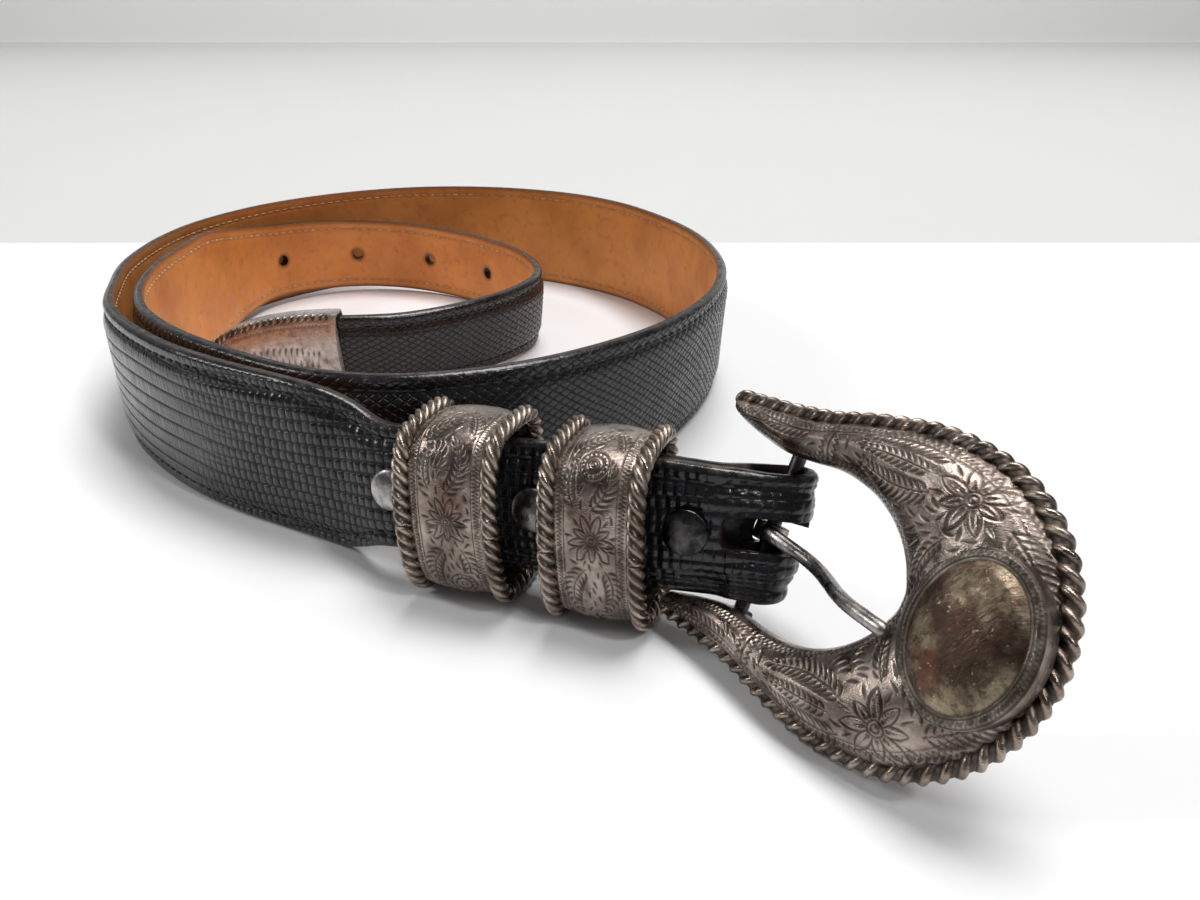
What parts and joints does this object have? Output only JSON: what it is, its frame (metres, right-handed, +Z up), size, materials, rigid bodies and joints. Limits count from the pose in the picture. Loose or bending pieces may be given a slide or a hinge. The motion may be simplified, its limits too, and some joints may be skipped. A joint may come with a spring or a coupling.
{
  "type": "leather belt",
  "caption": "Coiled lizard-grain leather belt, tan lined, with a roped western buckle, two engraved keepers and a pointed metal tip.",
  "frame": {"origin": "under the middle of the belt's bounding box, on the surface that it lies on", "axes": "+Z up from the table, +Y away from the viewer across the coil, +X to the viewer's right; the buckle lies at the front right"},
  "size_m": [0.1814, 0.2571, 0.0415],
  "materials": {
    "lizard_leather": "glossy black scaled leather",
    "tan_leather": "smooth vegetable-tanned lining",
    "rivet_steel": "worn",
    "rivet_black": "black, worn",
    "antique_silver": "engraved and tarnished",
    "prong_steel": "satin"
  },
  "bodies": {
    "strap": {"strap_face": "lizard_leather", "strap_lining": "tan_leather", "rivet_1": "rivet_steel", "rivet_2": "rivet_black", "rivet_3": "rivet_black", "belt_tip": "antique_silver"},
    "buckle": {"buckle_frame": "antique_silver"},
    "prong": {"prong": "prong_steel"},
    "keeper_1": {"keeper_1": "antique_silver"},
    "keeper_2": {"keeper_2": "antique_silver"}
  },
  "joints": [
    {"name": "buckle_swing", "type": "hinge", "parent": "strap", "child": "buckle", "pos_m": [0.06103, -0.08611, 0.01749], "axis": [0.3515, 0.3654, 0.8619], "range_deg": [-40, 0]},
    {"name": "prong_swing", "type": "hinge", "parent": "buckle", "child": "prong", "pos_m": [0.06103, -0.08611, 0.01749], "axis": [0.3515, 0.3654, 0.8619], "range_deg": [-40, 0]},
    {"name": "keeper_1_slide", "type": "slide", "parent": "strap", "child": "keeper_1", "axis": [0.9468, -0.3219, 0], "range_m": [-0.006, 0.003]},
    {"name": "keeper_2_slide", "type": "slide", "parent": "strap", "child": "keeper_2", "axis": [0.9468, -0.3219, 0], "range_m": [-0.003, 0]}
  ]
}
